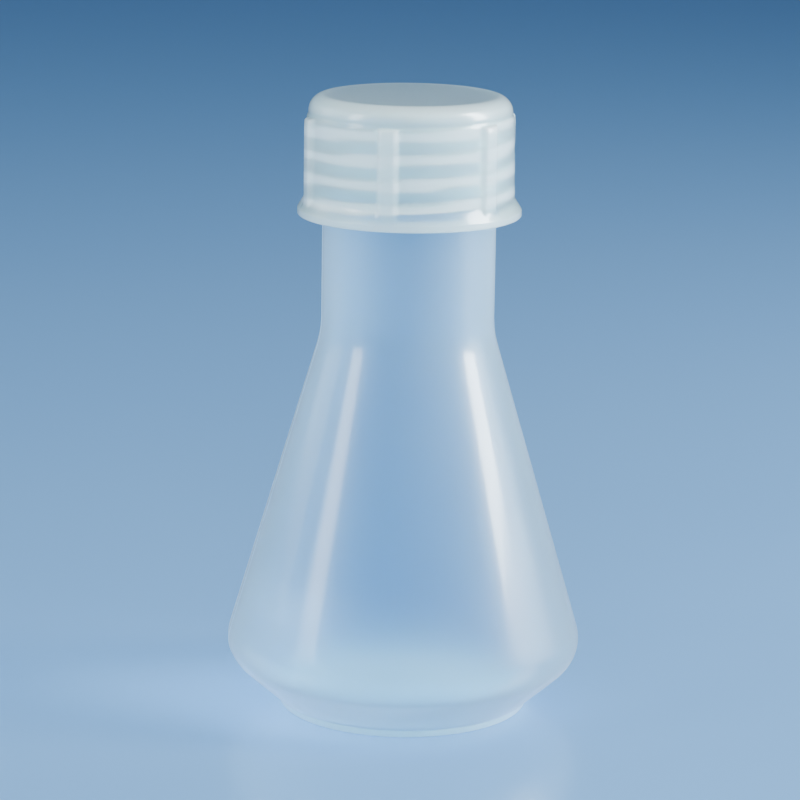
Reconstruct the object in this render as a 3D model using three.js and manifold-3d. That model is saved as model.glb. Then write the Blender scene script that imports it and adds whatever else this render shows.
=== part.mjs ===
// Screw-cap Erlenmeyer flask in natural polypropylene, nominal 100 ml.
// Millimetres, +Z up, origin at the centre of the foot's standing plane.
//
// Three pieces: the flask with its moulded thread, the cap with its own thread, and the sealing disc in the cap.
// Both threads follow the same right-hand helix, so the cap rises by one pitch for each turn anticlockwise.

import * as THREE from "three";
import { mergeVertices } from "three/addons/utils/BufferGeometryUtils.js";
import Module from "manifold-3d";

// ---------------------------------------------------------------- driving dimensions

const SEGMENTS = 48; // facets in a full turn
const ARC_STEP = 22; // degrees of turn per facet along a rounded corner
const degrees = Math.PI / 180;

const flask = {
  wall: 1.3,
  footRadius: 22.4, // outer edge of the ring that it stands on
  footInnerRadius: 19.3,
  footWallTop: { r: 23.15, z: 1.65 }, // where the short foot wall meets the sloping underside
  recessRadius: 17.9, // the base is pushed up inside the foot ring
  recessHeight: 1.7,
  recessCentreHeight: 3.0,
  shoulder: { r: 33.02, z: 10.4, radius: 6.4 }, // sharp meeting point of underside and cone, then its rounding
  coneHalfAngle: 16.5,
  neckRadius: 15.5,
  neckRounding: 18,
  boreRadius: 14.15,
  mouthHeight: 109.3,
};

const thread = {
  pitch: 25.4 / 6, // six threads to the inch, as on most closures of this size
  rootHalfWidth: 1.1,
  crestHalfWidth: 0.5,
  fadeTurns: 0.12, // the ridge grows out of the wall over this part of a turn
  embed: 0.4, // how far a ridge's root is sunk into its wall
  neckTurns: 3.25,
  neckCrestRadius: 16.65,
  neckStartHeight: 93.85, // middle of the ridge at its lower end
  startAngle: 60, // degrees from +X about +Z, where both ridges begin
  capTurns: 3.9,
  capCrestRadius: 15.85,
};

const cap = {
  bottom: 90.4,
  flangeRadius: 20.0,
  flangeEdgeTop: 91.6,
  skirtFootRadius: 18.7,
  skirtFootHeight: 93.7,
  skirtTopRadius: 18.4,
  skirtTopHeight: 108.0,
  domeRadius: 18.1,
  domeCorner: 2.9,
  edgeHeight: 111.8,
  crownHeight: 112.0,
  innerRadius: 17.0,
  ceiling: 110.6,
  innerCorner: 1.2,
  mouthChamfer: 0.4,
};

const rib = {
  count: 6,
  firstAngle: -102, // degrees from +X about +Z, for the rib nearest the front
  outerRadius: 19.3,
  innerRadius: 17.9,
  width: 3.9,
  bottom: 91.6,
  top: 108.2,
  topSlope: 0.8,
};

const disc = { radius: 16.4, bottom: 109.6, thickness: 0.7 };

// ---------------------------------------------------------------- profiles

// Rounds the corners of an outline. Each point is { r, z, radius }, and a point without a radius stays sharp.
function rounded(points) {
  const outline = [];
  points.forEach((point, i) => {
    const before = points[i - 1];
    const after = points[i + 1];
    if (!point.radius || !before || !after) {
      outline.push(new THREE.Vector2(point.r, point.z));
      return;
    }
    const corner = new THREE.Vector2(point.r, point.z);
    const back = new THREE.Vector2(before.r, before.z).sub(corner).normalize();
    const onward = new THREE.Vector2(after.r, after.z).sub(corner).normalize();
    const halfAngle = Math.acos(back.dot(onward)) / 2;
    const centre = back
      .clone()
      .add(onward)
      .normalize()
      .multiplyScalar(point.radius / Math.sin(halfAngle))
      .add(corner);
    const tangentLength = point.radius / Math.tan(halfAngle);
    const start = corner.clone().addScaledVector(back, tangentLength).sub(centre);
    const end = corner.clone().addScaledVector(onward, tangentLength).sub(centre);
    const startAngle = Math.atan2(start.y, start.x);
    const turn = Math.atan2(start.cross(end), start.dot(end));
    const steps = Math.max(2, Math.ceil(Math.abs(turn) / (ARC_STEP * degrees)));
    for (let k = 0; k <= steps; k++) {
      const angle = startAngle + (turn * k) / steps;
      outline.push(
        new THREE.Vector2(
          centre.x + point.radius * Math.cos(angle),
          centre.y + point.radius * Math.sin(angle),
        ),
      );
    }
  });
  return outline;
}

// Height at which the cone, run on from the sharp shoulder point, narrows to a radius.
function coneHeight(radius, shift = 0) {
  const { shoulder, coneHalfAngle } = flask;
  return shoulder.z + (shoulder.r - shift - radius) / Math.tan(coneHalfAngle * degrees);
}

function flaskProfile() {
  const f = flask;
  const slope = Math.atan2(f.shoulder.z - f.footWallTop.z, f.shoulder.r - f.footWallTop.r);
  const cone = f.coneHalfAngle * degrees;
  // The inner shoulder lies one wall in from both the underside and the cone.
  const insideCone = f.wall / Math.cos(cone);
  const insideUnderside = f.wall / Math.sin(slope);
  const lift = (insideUnderside - insideCone) / (1 / Math.tan(slope) + Math.tan(cone));
  const innerShoulder = {
    r: f.shoulder.r - insideCone - lift * Math.tan(cone),
    z: f.shoulder.z + lift,
    radius: f.shoulder.radius - f.wall,
  };
  const innerFootZ = f.wall + 0.2;
  const innerFootR =
    innerShoulder.r - (innerShoulder.z - innerFootZ) / Math.tan(slope);
  return rounded([
    { r: 0, z: f.recessCentreHeight },
    { r: f.recessRadius, z: f.recessHeight, radius: 1.0 },
    { r: f.footInnerRadius, z: 0, radius: 0.5 },
    { r: f.footRadius, z: 0, radius: 0.6 },
    { ...f.footWallTop, radius: 2.0 },
    f.shoulder,
    { r: f.neckRadius, z: coneHeight(f.neckRadius), radius: f.neckRounding },
    { r: f.neckRadius, z: f.mouthHeight, radius: 0.45 },
    { r: f.boreRadius, z: f.mouthHeight, radius: 0.45 },
    {
      r: f.boreRadius,
      z: coneHeight(f.boreRadius, insideCone),
      radius: f.neckRounding,
    },
    innerShoulder,
    { r: innerFootR, z: innerFootZ, radius: 1.2 },
    { r: f.footInnerRadius + 0.3, z: innerFootZ, radius: 0.8 },
    { r: f.recessRadius - 0.4, z: f.recessHeight + f.wall, radius: 1.0 },
    { r: 0, z: f.recessCentreHeight + f.wall },
  ]);
}

function capProfile() {
  const c = cap;
  return rounded([
    { r: 0, z: c.ceiling },
    { r: c.innerRadius, z: c.ceiling, radius: c.innerCorner },
    { r: c.innerRadius, z: c.bottom + c.mouthChamfer },
    { r: c.innerRadius + c.mouthChamfer, z: c.bottom },
    { r: c.flangeRadius, z: c.bottom, radius: 0.35 },
    { r: c.flangeRadius, z: c.flangeEdgeTop, radius: 0.35 },
    { r: c.skirtFootRadius, z: c.skirtFootHeight, radius: 1.5 },
    { r: c.skirtTopRadius, z: c.skirtTopHeight },
    { r: c.domeRadius, z: c.skirtTopHeight + 0.5 },
    { r: c.domeRadius, z: c.edgeHeight, radius: c.domeCorner },
    { r: 0, z: c.crownHeight },
  ]);
}

function discProfile() {
  const top = disc.bottom + disc.thickness;
  return [
    new THREE.Vector2(0, disc.bottom),
    new THREE.Vector2(disc.radius, disc.bottom),
    new THREE.Vector2(disc.radius, top),
    new THREE.Vector2(0, top),
  ];
}

// ---------------------------------------------------------------- solids

// A profile turned about the Z axis. LatheGeometry turns about Y, so the result is stood up.
function lathe(profile) {
  return new THREE.LatheGeometry(profile, SEGMENTS)
    .rotateY(Math.PI / 2)
    .rotateX(Math.PI / 2);
}

// A helical ridge of trapezoidal section. It stands on rootRadius, and its crest may lie outside or inside that.
function helicalRidge({ rootRadius, crestRadius, startHeight, turns }) {
  const outward = Math.sign(crestRadius - rootRadius);
  const sunk = rootRadius - outward * thread.embed;
  const steps = Math.round(turns * SEGMENTS);
  const positions = [];
  const index = [];
  for (let i = 0; i <= steps; i++) {
    const turned = i / SEGMENTS;
    const angle = 2 * Math.PI * turned;
    // At each end the crest sinks just below the wall that carries it.
    const grown = Math.min(1, turned / thread.fadeTurns, (turns - turned) / thread.fadeTurns);
    const fadedCrest = rootRadius - outward * thread.embed * 0.5;
    const crest = fadedCrest + (crestRadius - fadedCrest) * Math.max(0, grown);
    const height = startHeight + thread.pitch * turned;
    const section = [
      [sunk, -thread.rootHalfWidth],
      [crest, -thread.crestHalfWidth],
      [crest, thread.crestHalfWidth],
      [sunk, thread.rootHalfWidth],
    ];
    for (const [radius, offset] of section) {
      positions.push(radius * Math.cos(angle), radius * Math.sin(angle), height + offset);
    }
  }
  const quad = (a, b, c, d) => index.push(a, b, c, a, c, d);
  for (let i = 0; i < steps; i++) {
    for (let k = 0; k < 4; k++) {
      const next = (k + 1) % 4;
      quad(4 * i + k, 4 * (i + 1) + k, 4 * (i + 1) + next, 4 * i + next);
    }
  }
  const last = 4 * steps;
  quad(0, 1, 2, 3);
  quad(last + 3, last + 2, last + 1, last);
  if (outward < 0) index.reverse();
  const geometry = new THREE.BufferGeometry();
  geometry.setAttribute("position", new THREE.Float32BufferAttribute(positions, 3));
  geometry.setIndex(index);
  return geometry.rotateZ(thread.startAngle * degrees);
}

// One upright grip rib: its side outline in the radius-height plane, given a width across.
function gripRib(angle) {
  const outline = new THREE.Shape([
    new THREE.Vector2(rib.innerRadius, rib.bottom),
    new THREE.Vector2(rib.outerRadius, rib.bottom),
    new THREE.Vector2(rib.outerRadius, rib.top - rib.topSlope),
    new THREE.Vector2(rib.outerRadius - rib.topSlope, rib.top),
    new THREE.Vector2(rib.innerRadius, rib.top),
  ]);
  return new THREE.ExtrudeGeometry(outline, { depth: rib.width, bevelEnabled: false })
    .translate(0, 0, -rib.width / 2)
    .rotateX(Math.PI / 2)
    .rotateZ(angle * degrees);
}

// ---------------------------------------------------------------- joining

const wasm = await Module();
wasm.setup();

function toSolid(geometry) {
  const bare = new THREE.BufferGeometry();
  bare.setAttribute("position", geometry.getAttribute("position"));
  if (geometry.index) bare.setIndex(geometry.index);
  const merged = mergeVertices(bare, 1e-4);
  return new wasm.Manifold(
    new wasm.Mesh({
      numProp: 3,
      vertProperties: new Float32Array(merged.getAttribute("position").array),
      triVerts: new Uint32Array(merged.index.array),
    }),
  );
}

function toGeometry(solid) {
  const mesh = solid.getMesh();
  const geometry = new THREE.BufferGeometry();
  geometry.setAttribute("position", new THREE.BufferAttribute(mesh.vertProperties, 3));
  geometry.setIndex(new THREE.BufferAttribute(mesh.triVerts, 1));
  geometry.computeVertexNormals();
  return geometry;
}

function joined(geometries) {
  return toGeometry(geometries.map(toSolid).reduce((all, one) => all.add(one)));
}

function piece(name, geometry, material) {
  const mesh = new THREE.Mesh(geometry, new THREE.MeshStandardMaterial(material));
  mesh.name = name;
  return mesh;
}

// ---------------------------------------------------------------- pieces

const assembly = new THREE.Group();
assembly.name = "screw_cap_flask";

const neckThread = helicalRidge({
  rootRadius: flask.neckRadius,
  crestRadius: thread.neckCrestRadius,
  startHeight: thread.neckStartHeight,
  turns: thread.neckTurns,
});
assembly.add(
  piece("flask_body", joined([lathe(flaskProfile()), neckThread]), {
    color: 0xcfdfe6,
    roughness: 0.35,
    metalness: 0,
    transparent: true,
    opacity: 0.55,
  }),
);

// The cap's ridge runs midway between the turns of the neck's ridge.
const capThread = helicalRidge({
  rootRadius: cap.innerRadius,
  crestRadius: thread.capCrestRadius,
  startHeight: thread.neckStartHeight - thread.pitch / 2,
  turns: thread.capTurns,
});
const ribs = Array.from({ length: rib.count }, (_, i) =>
  gripRib(rib.firstAngle + (i * 360) / rib.count),
);
assembly.add(
  piece("screw_cap", joined([lathe(capProfile()), capThread, ...ribs]), {
    color: 0xe3eef1,
    roughness: 0.3,
    metalness: 0,
    transparent: true,
    opacity: 0.75,
  }),
);

assembly.add(
  piece("sealing_disc", lathe(discProfile()), {
    color: 0xdde6e8,
    roughness: 0.55,
    metalness: 0,
    transparent: true,
    opacity: 0.8,
  }),
);

export default assembly;
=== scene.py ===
"""A screw-cap Erlenmeyer flask in natural polypropylene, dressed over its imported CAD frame.

Dimensions are millimetres, and every mesh is built in metres. The flask, its cap and the sealing disc in the
cap are each one closed moulding, turned about the Z axis on a grid fine enough to carry threads and ribs.
"""

import math

import bmesh
import bpy
from mathutils import Matrix, Vector


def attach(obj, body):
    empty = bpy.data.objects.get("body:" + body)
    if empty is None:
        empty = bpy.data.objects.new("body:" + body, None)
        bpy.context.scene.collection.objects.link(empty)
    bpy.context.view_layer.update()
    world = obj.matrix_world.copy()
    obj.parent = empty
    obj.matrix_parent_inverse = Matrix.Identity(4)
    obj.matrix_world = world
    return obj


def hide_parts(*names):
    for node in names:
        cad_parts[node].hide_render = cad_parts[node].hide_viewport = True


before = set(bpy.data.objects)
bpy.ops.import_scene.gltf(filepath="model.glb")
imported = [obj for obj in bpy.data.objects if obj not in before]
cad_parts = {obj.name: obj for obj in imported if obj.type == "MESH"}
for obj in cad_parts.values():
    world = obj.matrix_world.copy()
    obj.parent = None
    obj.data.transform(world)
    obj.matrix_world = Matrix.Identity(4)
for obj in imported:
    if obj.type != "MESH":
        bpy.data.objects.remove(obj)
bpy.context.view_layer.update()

MM = 0.001
TURN = 2 * math.pi

# ---------------------------------------------------------------- dimensions, in millimetres

FLASK = {
    "wall": 1.3,
    "foot_radius": 22.4,
    "foot_inner_radius": 19.3,
    "foot_wall_top": (23.15, 1.65),
    "foot_edges": (0.5, 0.6),  # inner and outer
    "foot_bend": 2.0,
    "recess_radius": 17.9,
    "recess_height": 1.7,
    "recess_centre_height": 3.0,
    "recess_bend": 1.0,
    "recess_inset": 0.4,  # how much narrower the dome is inside than under the base
    "floor_height": 1.5,
    "floor_inset": 0.3,  # how much further out the floor's inner bend is than the foot's inner edge
    "floor_bends": (1.2, 0.8),  # outer and inner
    "shoulder": (32.97, 10.4),
    "shoulder_radius": 6.4,
    "cone_half_angle": math.radians(16.5),
    "neck_radius": 15.5,
    "neck_rounding": 18.0,
    "bore_radius": 14.15,
    "mouth_height": 109.3,
    "lip_edge": 0.45,
}
THREAD = {
    "pitch": 25.4 / 6,
    "root_half_width": 1.1,
    "crest_half_width": 0.5,
    "fade_turns": 0.12,
    "start_angle": math.radians(60),
}
NECK_THREAD = {"start": 93.85, "turns": 3.25, "depth": 1.13}
CAP_THREAD = {"start": 93.85 - THREAD["pitch"] / 2, "turns": 3.9, "depth": -1.13}
CAP = {
    "bottom": 90.4,
    "bottom_edge": 0.15,
    "mouth_chamfer": 0.4,
    "inner_radius": 17.0,
    "inner_corner": 1.2,
    "ceiling": 110.6,
    "flange_radius": 19.98,
    "flange_edge_top": 91.6,
    "flange_edge": 0.35,
    "skirt_foot": (18.7, 93.7),
    "skirt_foot_bend": 1.5,
    "skirt_top": (18.4, 108.0),
    "ledge_height": 0.5,
    "ledge_bend": 1.0,
    "dome_radius": 18.1,
    "dome_corner": 2.9,
    "edge_height": 111.8,
    "crown_height": 112.0,
}
RIB = {
    "count": 6,
    "first_angle": math.radians(-102),
    "outer_radius": 19.3,
    "half_width": 1.95,
    "edge": 1.2,
    "edge_outside": 0.3,  # the share of the rounded edge that lies past the half width
    "bottom": 91.6,
    "top": 108.2,
    "top_slope": 0.8,
}
DISC = {"radius": 16.4, "bottom": 109.6, "thickness": 0.7, "edge": 0.18}
SEAM = {"angle": math.radians(8), "height": 0.1, "half_width": 0.35}  # where the mould's halves met
PINCH = {"length": 11.0, "end": 1.5, "height": 0.3, "half_width": 0.7}  # where they closed the base
MARK_PLATEAU = 1.2  # anything above 1 gives the seam and the pinch line a flat top

# How thick the plastic looks, which sets how milky it is. The tables give the thickness at rising heights.
# The blown wall is thinnest low on the cone, and the cap is clearest just above its lip.
WALL_LAYER = "wall_mm"
BLOWN_WALL = [(0, 1.3), (1.5, 1.3), (4, 0.85), (26, 0.8), (40, 0.92), (57, 1.12), (74, 1.33), (110, 1.35)]
BLOWN_FROM_TO = (3, 8)  # heights between which the inner face starts to follow the blown wall
BASE_WALL = 2.0
BASE_TOP = 5.0  # the base lies below this height, and the seam and the thread above it
# The foot's lower outer edge is milkier: partly its thick solid corner, partly a painted highlight along the
# rim.
FOOT_EDGE = {"radius": 21.0, "top": 0.8, "wall": 2.9}
CAP_SIDE_WALL = [(90.4, 1.9), (91.3, 1.9), (92.2, 0.75), (94.5, 0.95), (100, 1.2), (106, 1.4)]
CAP_TOP_WALL = 1.1
CAP_CORNER_WALL = 1.8
CAP_CORNER_HEIGHT = 2  # the side's thickness changes to the corner's over so much height
CAP_CORNER_START = 0.5  # and the top's changes to the corner's from so far inside the dome's flat part
CAP_THREAD_END = 0.5  # the cap's ridge sinks into the wall within so much height of the ceiling's corner
CAP_THREAD_MILK_AND_HIGHLIGHT = 2.5  # a ridge in the cap looks as milky as so many times its own depth of wall: one depth is its real plastic, the rest is a painted highlight along the thread
CAP_THREAD_HIGHLIGHT_CREST = 8  # the power that keeps that extra milkiness, the painted highlight, to the ridge's crest
THICK_FROM_TO = (1.4, 1.9)  # the tint changes from the thin wall's to the thick wall's between these

# Mesh density
ARC_STEP = math.radians(7)  # turn per step along a rounded corner
WALL_STEP = 1.8  # longest step along a plain wall
THREAD_STEP = 0.16  # longest step up a wall that carries a thread
LIP_MARGIN = 0.6  # those short steps end so far below the flask's mouth
CAP_STEP = 1.0  # longest step along the cap's outside
RIB_TOP_STEP = 0.12  # longest step across the rounded tops of its ribs
RIB_TOP_MARGINS = (0.2, 0.3)  # those short steps reach so far below and above the rounded tops
FLASK_COLUMNS = 192
DISC_COLUMNS = 128
RIB_EDGE_COLUMNS = 8
COLUMNS_BETWEEN_RIBS = 22
TINY = 1e-6


# ---------------------------------------------------------------- outlines


def rounded(points):
    """An outline of (r, z) points from corners (r, z, radius). A radius of 0 leaves the corner sharp."""
    outline = []
    for i, (r, z, radius) in enumerate(points):
        corner = Vector((r, z))
        if not radius:
            outline.append(corner)
            continue
        back = (Vector(points[i - 1][:2]) - corner).normalized()
        onward = (Vector(points[i + 1][:2]) - corner).normalized()
        half = back.angle(onward) / 2
        centre = corner + (back + onward).normalized() * (radius / math.sin(half))
        start = corner + back * (radius / math.tan(half)) - centre
        turn = start.angle_signed(corner + onward * (radius / math.tan(half)) - centre)
        steps = max(3, math.ceil(abs(turn) / ARC_STEP))
        for k in range(steps + 1):
            spun = Matrix.Rotation(-turn * k / steps, 2) @ start
            outline.append(centre + spun)
    return outline


def refined(outline, longest):
    """The same outline with no step longer than longest(z) millimetres."""
    fine = [outline[0]]
    for point in outline[1:]:
        last = fine[-1].copy()
        step = point - last
        count = max(1, math.ceil(step.length / longest((last.y + point.y) / 2) - TINY))
        fine += [last + step * k / count for k in range(1, count + 1)]
    return fine


def domed(outline, radius, centre_z, edge_z):
    """The outline with its flat cone within radius raised onto a shallow dome of the same end heights."""
    shaped = []
    for point in outline:
        r, z = point
        if r < radius and min(centre_z, edge_z) - TINY <= z <= max(centre_z, edge_z) + TINY:
            z = edge_z + (centre_z - edge_z) * (1 - (r / radius) ** 2)
        shaped.append(Vector((r, z)))
    return shaped


def cone_height(radius, shift=0.0):
    """Height at which the cone, run on from the sharp shoulder point, narrows to a radius."""
    shoulder_r, shoulder_z = FLASK["shoulder"]
    return shoulder_z + (shoulder_r - shift - radius) / math.tan(FLASK["cone_half_angle"])


def flask_outline():
    """The flask's outer outline, from under the base to the mouth, and its inner one, from there down."""
    f = FLASK
    wall = f["wall"]
    foot_r, foot_z = f["foot_wall_top"]
    foot_inner_edge, foot_outer_edge = f["foot_edges"]
    floor_outer_bend, floor_inner_bend = f["floor_bends"]
    shoulder_r, shoulder_z = f["shoulder"]
    slope = math.atan2(shoulder_z - foot_z, shoulder_r - foot_r)
    cone = f["cone_half_angle"]
    inside_cone = wall / math.cos(cone)
    inside_underside = wall / math.sin(slope)
    lift = (inside_underside - inside_cone) / (1 / math.tan(slope) + math.tan(cone))
    inner_r = shoulder_r - inside_cone - lift * math.tan(cone)
    inner_z = shoulder_z + lift
    floor_z = f["floor_height"]
    floor_r = inner_r - (inner_z - floor_z) / math.tan(slope)
    dome_r = f["recess_radius"] - f["recess_inset"]
    dome_edge_z = f["recess_height"] + wall
    dome_centre_z = f["recess_centre_height"] + wall
    outer = rounded([
        (0, f["recess_centre_height"], 0),
        (f["recess_radius"], f["recess_height"], f["recess_bend"]),
        (f["foot_inner_radius"], 0, foot_inner_edge),
        (f["foot_radius"], 0, foot_outer_edge),
        (foot_r, foot_z, f["foot_bend"]),
        (shoulder_r, shoulder_z, f["shoulder_radius"]),
        (f["neck_radius"], cone_height(f["neck_radius"]), f["neck_rounding"]),
        (f["neck_radius"], f["mouth_height"], f["lip_edge"]),
        (f["bore_radius"], f["mouth_height"], 0),
    ])[:-1]
    inner = rounded([
        (f["neck_radius"], f["mouth_height"], 0),
        (f["bore_radius"], f["mouth_height"], f["lip_edge"]),
        (f["bore_radius"], cone_height(f["bore_radius"], inside_cone), f["neck_rounding"]),
        (inner_r, inner_z, f["shoulder_radius"] - wall),
        (floor_r, floor_z, floor_outer_bend),
        (f["foot_inner_radius"] + f["floor_inset"], floor_z, floor_inner_bend),
        (dome_r, dome_edge_z, f["recess_bend"]),
        (0, dome_centre_z, 0),
    ])[1:]

    thread_foot = NECK_THREAD["start"] - THREAD["root_half_width"]
    below_lip = f["mouth_height"] - LIP_MARGIN

    def step_outside(z):
        return THREAD_STEP if thread_foot < z < below_lip else WALL_STEP

    fine_outer = refined(outer, step_outside)
    fine_inner = refined(inner, lambda z: WALL_STEP)
    return (
        domed(fine_outer, f["recess_radius"], f["recess_centre_height"], f["recess_height"]),
        domed(fine_inner, dome_r, dome_centre_z, dome_edge_z),
    )


def cap_outline():
    """The cap's inner outline, from its ceiling to its mouth, and its outer one, from there to the crown."""
    c = CAP
    inner = rounded([
        (0, c["ceiling"], 0),
        (c["inner_radius"], c["ceiling"], c["inner_corner"]),
        (c["inner_radius"], c["bottom"] + c["mouth_chamfer"], 0),
    ])
    outer = rounded([
        (c["inner_radius"], c["bottom"] + c["mouth_chamfer"], 0),
        (c["inner_radius"] + c["mouth_chamfer"], c["bottom"], c["bottom_edge"]),
        (c["flange_radius"], c["bottom"], c["flange_edge"]),
        (c["flange_radius"], c["flange_edge_top"], c["flange_edge"]),
        (*c["skirt_foot"], c["skirt_foot_bend"]),
        (*c["skirt_top"], c["ledge_bend"]),
        (c["dome_radius"], c["skirt_top"][1] + c["ledge_height"], c["ledge_bend"]),
        (c["dome_radius"], c["edge_height"], c["dome_corner"]),
        (0, c["crown_height"], 0),
    ])[1:]

    def step_inside(z):
        on_thread = c["bottom"] + c["mouth_chamfer"] < z < c["ceiling"] - c["inner_corner"]
        return THREAD_STEP if on_thread else WALL_STEP

    rib_tops_from = RIB["top"] - RIB["top_slope"] - RIB_TOP_MARGINS[0]
    rib_tops_to = RIB["top"] + RIB_TOP_MARGINS[1]

    def step_outside(z):
        return RIB_TOP_STEP if rib_tops_from < z < rib_tops_to else CAP_STEP

    crown_radius = c["dome_radius"] - c["dome_corner"]
    crown = domed(refined(outer, step_outside), crown_radius, c["crown_height"], c["edge_height"])
    return refined(inner, step_inside), crown


# ---------------------------------------------------------------- relief on the walls


def smooth(x):
    """A smooth step that rises from 0 to 1 as x does."""
    x = min(1.0, max(0.0, x))
    return x * x * (3 - 2 * x)


def between(table, z):
    """Smooth values between the (height, value) rows of a table."""
    for (z0, v0), (z1, v1) in zip(table, table[1:]):
        if z < z1:
            return v0 + (v1 - v0) * smooth((z - z0) / (z1 - z0))
    return table[-1][1]


def thread_height(angle, z, start, turns, depth):
    """How far a helical ridge stands out at an angle and height. A negative depth points inwards."""
    pitch = THREAD["pitch"]
    part = ((angle - THREAD["start_angle"]) % TURN) / TURN
    tallest = 0.0
    for lap in range(int(turns) + 1):
        turned_by = part + lap
        if turned_by > turns:
            break
        off = abs(z - start - pitch * turned_by)
        if off >= THREAD["root_half_width"]:
            continue
        flank = THREAD["root_half_width"] - THREAD["crest_half_width"]
        rise = smooth((THREAD["root_half_width"] - off) / flank)
        grown = smooth(min(turned_by, turns - turned_by) / THREAD["fade_turns"])
        tallest = max(tallest, rise * grown)
    return depth * tallest


def rib_radius(angle, r, z):
    """The cap's outer radius once its upright grip ribs are added to the plain radius r."""
    if not RIB["bottom"] < z < RIB["top"]:
        return r
    pitch = TURN / RIB["count"]
    off = (angle - RIB["first_angle"] + pitch / 2) % pitch - pitch / 2
    inside = (RIB["half_width"] - abs(off) * RIB["outer_radius"]) / RIB["edge"]
    across = smooth(inside + RIB["edge_outside"])
    into_slope = max(0.0, (z - RIB["top"] + RIB["top_slope"]) / RIB["top_slope"])
    crest = RIB["outer_radius"] - RIB["top_slope"] * (1 - math.sqrt(1 - into_slope**2))
    return r + max(0.0, crest - r) * across


# ---------------------------------------------------------------- meshes


def turned(name, outline, angles, point_at):
    """A closed body of revolution from an (r, z) outline that runs from axis to axis.

    point_at(angle, r, z, row) gives each point's radius and height, so that ridges and ribs can stand out,
    and how thick the plastic looks there.
    """
    bm = bmesh.new()
    thickness = bm.verts.layers.float.new(WALL_LAYER)
    rings = []
    for row, (r, z) in enumerate(outline):
        ring = []
        for angle in angles if 0 < row < len(outline) - 1 else angles[:1]:
            radius, height, wall = point_at(angle, r, z, row)
            x = radius * math.cos(angle)
            y = radius * math.sin(angle)
            vert = bm.verts.new((x * MM, y * MM, height * MM))
            vert[thickness] = wall
            ring.append(vert)
        rings.append(ring)
    count = len(angles)
    for lower, upper in zip(rings, rings[1:]):
        for i in range(count):
            j = (i + 1) % count
            if len(lower) == 1:
                bm.faces.new((lower[0], upper[j], upper[i]))
            elif len(upper) == 1:
                bm.faces.new((lower[i], lower[j], upper[0]))
            else:
                bm.faces.new((lower[i], lower[j], upper[j], upper[i]))
    return finished(name, bm)


def finished(name, bm):
    """A smooth-shaded object in the scene from a finished bmesh."""
    mesh = bpy.data.meshes.new(name)
    bm.to_mesh(mesh)
    bm.free()
    mesh.shade_smooth()
    obj = bpy.data.objects.new(name, mesh)
    bpy.context.collection.objects.link(obj)
    return obj


def even_angles(count):
    return [TURN * i / count for i in range(count)]


def flask_angles():
    """Even columns, with closer ones across the two mould seams on opposite sides."""
    angles = [SEAM["angle"] + angle for angle in even_angles(FLASK_COLUMNS)]
    width = SEAM["half_width"] / FLASK["shoulder"][0]
    for side in (0, math.pi):
        angles += [SEAM["angle"] + side + width * k for k in (-1, -0.5, 0.5, 1)]
    return sorted(angle % TURN for angle in angles)


def cap_angles():
    """Columns that are close together across each rib's rounded edges and wider apart between the ribs."""
    radius = RIB["outer_radius"]
    inside = RIB["half_width"] - RIB["edge"]
    reach = RIB["edge"] * (1 + RIB["edge_outside"])
    across = [inside + reach * k / (RIB_EDGE_COLUMNS - 1) for k in range(RIB_EDGE_COLUMNS)]
    offsets = sorted([-a for a in across] + [-inside / 3, inside / 3] + across)
    pitch = TURN / RIB["count"]
    plain = pitch - 2 * across[-1] / radius
    angles = []
    for n in range(RIB["count"]):
        centre = RIB["first_angle"] + n * pitch
        angles += [centre + offset / radius for offset in offsets]
        start = centre + across[-1] / radius
        angles += [start + plain * k / COLUMNS_BETWEEN_RIBS for k in range(1, COLUMNS_BETWEEN_RIBS)]
    return angles


def make_flask():
    outer, inner = flask_outline()
    base_radius = FLASK["foot_wall_top"][0]
    blown_from, blown_to = BLOWN_FROM_TO

    def point_at(angle, r, z, row):
        in_base = r < base_radius and z < BASE_TOP
        ridge = thread_height(angle, z, **NECK_THREAD)
        wall = (BASE_WALL if in_base else between(BLOWN_WALL, z)) + ridge
        if row >= len(outer):
            thinned = 0 if in_base else FLASK["wall"] - between(BLOWN_WALL, z)
            return r + thinned * smooth((z - blown_from) / (blown_to - blown_from)), z, wall
        # the milkier foot edge is partly thick plastic and partly a painted highlight along the rim
        if z < FOOT_EDGE["top"] and r > FOOT_EDGE["radius"]:
            wall = FOOT_EDGE["wall"]
        across = abs(math.sin(angle - SEAM["angle"]))
        if z > BASE_TOP:
            seam = smooth(MARK_PLATEAU - across * FLASK["shoulder"][0] / SEAM["half_width"])
            return r + ridge + SEAM["height"] * seam, z, wall
        pinch = smooth(MARK_PLATEAU - across * r / PINCH["half_width"])
        pinch *= smooth((PINCH["length"] - r) / PINCH["end"])
        return r, z - PINCH["height"] * pinch, wall

    return turned("flask_moulding", outer + inner, flask_angles(), point_at)


def make_cap():
    inner, outer = cap_outline()
    flat_radius = CAP["dome_radius"] - CAP["dome_corner"]
    thread_top = CAP["ceiling"] - CAP["inner_corner"]
    skirt_radius, skirt_top = CAP["skirt_top"]

    def point_at(angle, r, z, row):
        is_inner = row < len(inner)
        ridge = smooth((thread_top - z) / CAP_THREAD_END) * thread_height(angle, z, **CAP_THREAD)
        plain = skirt_radius if is_inner else r
        rib = rib_radius(angle, plain, z) - plain
        crest = (ridge / CAP_THREAD["depth"]) ** CAP_THREAD_HIGHLIGHT_CREST
        # the ridge's crest is made milkier than its plastic: a painted highlight along the cap's thread
        side_wall = between(CAP_SIDE_WALL, z) + rib - CAP_THREAD_MILK_AND_HIGHLIGHT * CAP_THREAD["depth"] * crest
        corner_wall = side_wall + (CAP_CORNER_WALL - side_wall) * smooth((z - skirt_top) / CAP_CORNER_HEIGHT)
        off_top = smooth(r - flat_radius + CAP_CORNER_START)
        wall = CAP_TOP_WALL + (corner_wall - CAP_TOP_WALL) * off_top
        return r + ridge if is_inner else r + rib, z, wall

    return turned("cap_moulding", inner + outer, cap_angles(), point_at)


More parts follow.
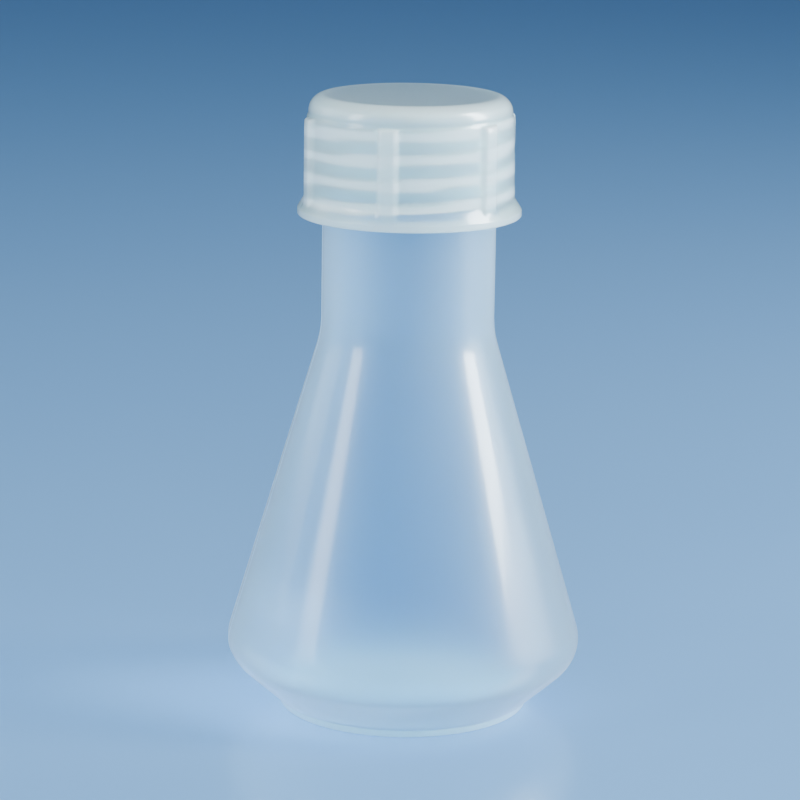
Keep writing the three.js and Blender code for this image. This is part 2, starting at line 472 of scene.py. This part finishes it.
def make_disc():
    top = DISC["bottom"] + DISC["thickness"]
    outline = rounded([
        (0, DISC["bottom"], 0),
        (DISC["radius"], DISC["bottom"], DISC["edge"]),
        (DISC["radius"], top, DISC["edge"]),
        (0, top, 0),
    ])

    def point_at(angle, r, z, row):
        return r, z, DISC["thickness"]

    fine = refined(outline, lambda z: WALL_STEP)
    return turned("disc_moulding", fine, even_angles(DISC_COLUMNS), point_at)


# ---------------------------------------------------------------- materials

# Noise scales are per metre, and depths are millimetres.
CLOUD = {"scale": 70, "detail": 3}
CLOUD_MILK = (0.85, 1.15)  # how much less or more milky the plastic is from cloud to cloud
CLOUD_TINT = 0.95  # how much darker it gets in a cloud
GLOSS = {"scale": 900, "detail": 2}
GLOSS_CHANGE = (0.93, 1.07)  # how much less or more rough it is from spot to spot
GRAIN = {"scale": 1500, "detail": 2, "strength": 0.04, "depth": 0.01}
WAVE = {"scale": 45, "detail": 1, "strength": 0.15, "depth": 0.25}
NOISE_SPAN = (0.1, 0.9)  # the values that nearly all of a noise lies between
MILK_GROWTH = 2.2  # a power above 1, because thick plastic cools slowly and grows milkier crystals
COAT_ROUGHNESS = 0.12
SHEEN_ROUGHNESS = 0.5
SCATTER_DEPTH = 1.2
PLASTIC_IOR = 1.49


def add_node(tree, kind, **settings):
    node = tree.nodes.new(kind)
    for key, value in settings.items():
        setattr(node, key, value)
    return node


def noise(tree, scale, detail):
    node = add_node(tree, "ShaderNodeTexNoise")
    node.inputs["Scale"].default_value = scale
    node.inputs["Detail"].default_value = detail
    place = add_node(tree, "ShaderNodeTexCoord").outputs["Object"]
    tree.links.new(place, node.inputs["Vector"])
    return node.outputs["Fac"]


def ranged(tree, value, from_span, to_span):
    """A value moved from one span of numbers onto another, and kept within it."""
    node = add_node(tree, "ShaderNodeMapRange")
    for socket, number in zip(("From Min", "From Max", "To Min", "To Max"), (*from_span, *to_span)):
        node.inputs[socket].default_value = number
    tree.links.new(value, node.inputs["Value"])
    return node.outputs["Result"]


def calculated(tree, operation, a, b):
    node = add_node(tree, "ShaderNodeMath", operation=operation)
    for socket, value in zip(node.inputs, (a, b)):
        if isinstance(value, (int, float)):
            socket.default_value = value
        else:
            tree.links.new(value, socket)
    return node.outputs[0]


def blended(tree, factor, first, second):
    """A colour between two, each of which is a fixed colour or an output."""
    node = add_node(tree, "ShaderNodeMix", data_type="RGBA")
    tree.links.new(factor, node.inputs["Factor"])
    for socket, colour in (("A", first), ("B", second)):
        if isinstance(colour, tuple):
            node.inputs[socket].default_value = (*colour, 1)
        else:
            tree.links.new(colour, node.inputs[socket])
    return node.outputs["Result"]


def bumped(tree, scale, detail, strength, depth):
    node = add_node(tree, "ShaderNodeBump")
    node.inputs["Strength"].default_value = strength
    node.inputs["Distance"].default_value = depth * MM
    tree.links.new(noise(tree, scale, detail), node.inputs["Height"])
    return node


def clearness(tree, cloud, wall, haze, slant):
    """The share of light that passes one surface without being scattered.

    haze is the share that one surface of a wall 1 mm thick scatters. A thicker wall scatters more, and so
    does a wall seen edge-on, where light takes up to slant times the shortest way through.
    """
    uneven = calculated(
        tree,
        "MULTIPLY",
        calculated(tree, "POWER", wall, MILK_GROWTH),
        ranged(tree, cloud, NOISE_SPAN, CLOUD_MILK),
    )
    tilt = calculated(tree, "POWER", add_node(tree, "ShaderNodeLayerWeight").outputs["Facing"], 2)
    crossed = calculated(tree, "MULTIPLY", uneven, ranged(tree, tilt, (0, 1), (1, slant)))
    return calculated(tree, "POWER", 1 - haze, crossed)


def plastic(name, base, haze, slant, roughness, coat, sheen, thick_base=None):
    """Milky translucent plastic. Lamps shine through it, dimmed, instead of casting a solid shadow."""
    material = bpy.data.materials.new(name)
    material.use_nodes = True
    tree = material.node_tree
    tree.nodes.clear()

    shader = add_node(tree, "ShaderNodeBsdfPrincipled")
    for socket, value in (
        ("IOR", PLASTIC_IOR),
        ("Subsurface Weight", 1.0),
        ("Subsurface Radius", (1.0, 1.0, 1.0)),
        ("Subsurface Scale", SCATTER_DEPTH * MM),
        ("Coat Weight", coat),
        ("Coat Roughness", COAT_ROUGHNESS),
        ("Sheen Weight", sheen),
        ("Sheen Roughness", SHEEN_ROUGHNESS),
    ):
        shader.inputs[socket].default_value = value

    cloud = noise(tree, **CLOUD)
    wall = add_node(tree, "ShaderNodeAttribute", attribute_name=WALL_LAYER).outputs["Fac"]
    # thin_tint: the base colour, which for the flask and the cap is partly painted backdrop blue
    thin_tint = blended(tree, cloud, base, tuple(c * CLOUD_TINT for c in base))
    tint = blended(tree, ranged(tree, wall, THICK_FROM_TO, (0, 1)), thin_tint, thick_base or base)
    roughnesses = tuple(roughness * change for change in GLOSS_CHANGE)
    grain = bumped(tree, **GRAIN)
    wave = bumped(tree, **WAVE)
    tree.links.new(grain.outputs["Normal"], wave.inputs["Normal"])
    for socket, value in (
        ("Base Color", tint),
        ("Transmission Weight", clearness(tree, cloud, wall, haze, slant)),
        ("Roughness", ranged(tree, noise(tree, **GLOSS), NOISE_SPAN, roughnesses)),
        ("Normal", wave.outputs["Normal"]),
    ):
        tree.links.new(value, shader.inputs[socket])

    lamplight = add_node(tree, "ShaderNodeBsdfTransparent")
    shade = (1 - haze) ** 2
    lamplight.inputs["Color"].default_value = (shade, shade, shade, 1)
    surface = add_node(tree, "ShaderNodeMixShader")
    tree.links.new(add_node(tree, "ShaderNodeLightPath").outputs["Is Shadow Ray"], surface.inputs["Fac"])
    tree.links.new(shader.outputs[0], surface.inputs[1])
    tree.links.new(lamplight.outputs[0], surface.inputs[2])
    output = add_node(tree, "ShaderNodeOutputMaterial")
    tree.links.new(surface.outputs[0], output.inputs["Surface"])
    return material


# ---------------------------------------------------------------- studio, in metres

FLOOR_COLOUR = (0.17, 0.37, 0.66)
FLOOR_ROUGHNESS = 0.22
SWEEP = {"radius": 3.0, "curve": 0.8, "height": 2.4, "rings": (0.3, 0.8, 1.5), "bends": 12, "columns": 96}
LIGHT_COLOUR = (0.9, 0.97, 1.0)
LIGHT_AIM = (0, 0, 0.055)
AIR_COLOUR = (0.80, 0.88, 1.0)
AIR_STRENGTH = 0.22
CAMERA = {
    "distance": 0.560,
    "height": 0.1873,
    "pitch": math.radians(13.159),
    "yaw": math.radians(0.121),
    "roll": math.radians(0.82),
    "lens": 143.4,
}


def floor_material():
    material = bpy.data.materials.new("studio_floor")
    material.use_nodes = True
    shader = material.node_tree.nodes["Principled BSDF"]
    shader.inputs["Base Color"].default_value = (*FLOOR_COLOUR, 1)
    shader.inputs["Roughness"].default_value = FLOOR_ROUGHNESS
    return material


def make_stage():
    """A round floor that curves up into a wall all the way round, so that no view sees past its edge."""
    bm = bmesh.new()
    curve, columns, bends = SWEEP["curve"], SWEEP["columns"], SWEEP["bends"]
    flat = SWEEP["radius"] - curve
    profile = [(r, 0.0) for r in SWEEP["rings"]]
    for k in range(bends + 1):
        angle = math.pi / 2 * k / bends
        profile.append((flat + curve * math.sin(angle), curve * (1 - math.cos(angle))))
    profile.append((SWEEP["radius"], SWEEP["height"]))
    centre = bm.verts.new((0, 0, 0))
    rings = [
        [bm.verts.new((r * math.cos(angle), r * math.sin(angle), z)) for angle in even_angles(columns)]
        for r, z in profile
    ]
    for i in range(columns):
        j = (i + 1) % columns
        bm.faces.new((centre, rings[0][i], rings[0][j]))
        for inner, outer in zip(rings, rings[1:]):
            bm.faces.new((inner[i], outer[i], outer[j], inner[j]))
    sweep = finished("studio_sweep", bm)
    sweep.data.materials.append(floor_material())


def add_light(name, place, size, power, mirrored=True):
    """A rectangular light aimed at the flask. The plastic's gloss doesn't show one that isn't mirrored."""
    data = bpy.data.lights.new(name, "AREA")
    data.shape = "RECTANGLE"
    data.size, data.size_y = size
    data.energy = power
    data.color = LIGHT_COLOUR
    light = bpy.data.objects.new(name, data)
    light.location = place
    light.rotation_euler = (Vector(LIGHT_AIM) - Vector(place)).to_track_quat("-Z", "Y").to_euler()
    light.visible_transmission = False
    light.visible_glossy = mirrored
    bpy.context.collection.objects.link(light)


def make_lights():
    add_light("strip_right", (0.746, -0.06, 0.44), (0.26, 0.62), 20)
    add_light("strip_left", (-0.56, -0.25, 0.32), (0.16, 0.40), 2)
    add_light("side_left", (-0.9, 0.25, 0.35), (0.5, 0.5), 1.5)
    add_light("front_fill", (-0.3, -1.4, 0.75), (1.4, 0.8), 30, mirrored=False)
    world = bpy.data.worlds.new("studio_air")
    world.use_nodes = True
    air = world.node_tree.nodes["Background"]
    air.inputs["Color"].default_value = (*AIR_COLOUR, 1)
    air.inputs["Strength"].default_value = AIR_STRENGTH
    bpy.context.scene.world = world


def make_camera():
    data = bpy.data.cameras.new("camera")
    data.lens = CAMERA["lens"]
    data.sensor_width = 36
    data.clip_start, data.clip_end = 0.01, 20
    camera = bpy.data.objects.new("camera", data)
    place = Matrix.Translation((0, -CAMERA["distance"], CAMERA["height"]))
    turn = Matrix.Rotation(CAMERA["yaw"], 4, "Z")
    tilt = Matrix.Rotation(math.pi / 2 - CAMERA["pitch"], 4, "X")
    roll = Matrix.Rotation(CAMERA["roll"], 4, "Z")
    camera.matrix_world = place @ turn @ tilt @ roll
    bpy.context.collection.objects.link(camera)
    bpy.context.scene.camera = camera


# ---------------------------------------------------------------- the model

PLASTICS = {
    "flask_plastic": {
        # the thin wall's colour: partly the plastic's own cool white, partly painted blue of a backdrop seen
        # through it
        "base": (0.52, 0.79, 1.0),
        "thick_base": (0.50, 0.83, 0.92),
        "haze": 0.053,
        "slant": 10.0,
        "roughness": 0.3,
        "coat": 0.9,
        "sheen": 0.3,
    },
    "cap_plastic": {
        # partly the plastic's own cool white, partly painted blue of a backdrop seen through the cap
        "base": (0.78, 0.96, 1.0),
        "haze": 0.155,
        "slant": 1.0,
        "roughness": 0.3,
        "coat": 0.9,
        "sheen": 0.0,
    },
    "disc_plastic": {
        "base": (0.80, 0.86, 0.88),
        "haze": 0.54,
        "slant": 1.0,
        "roughness": 0.45,
        "coat": 0.0,
        "sheen": 0.0,
    },
}

for make_piece, node, body, slot in (
    (make_flask, "flask_body", "flask", "flask_plastic"),
    (make_cap, "screw_cap", "cap", "cap_plastic"),
    (make_disc, "sealing_disc", "seal", "disc_plastic"),
):
    piece = make_piece()
    piece.data.materials.append(plastic(slot, **PLASTICS[slot]))
    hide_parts(node)
    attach(piece, body)

make_stage()
make_lights()
make_camera()
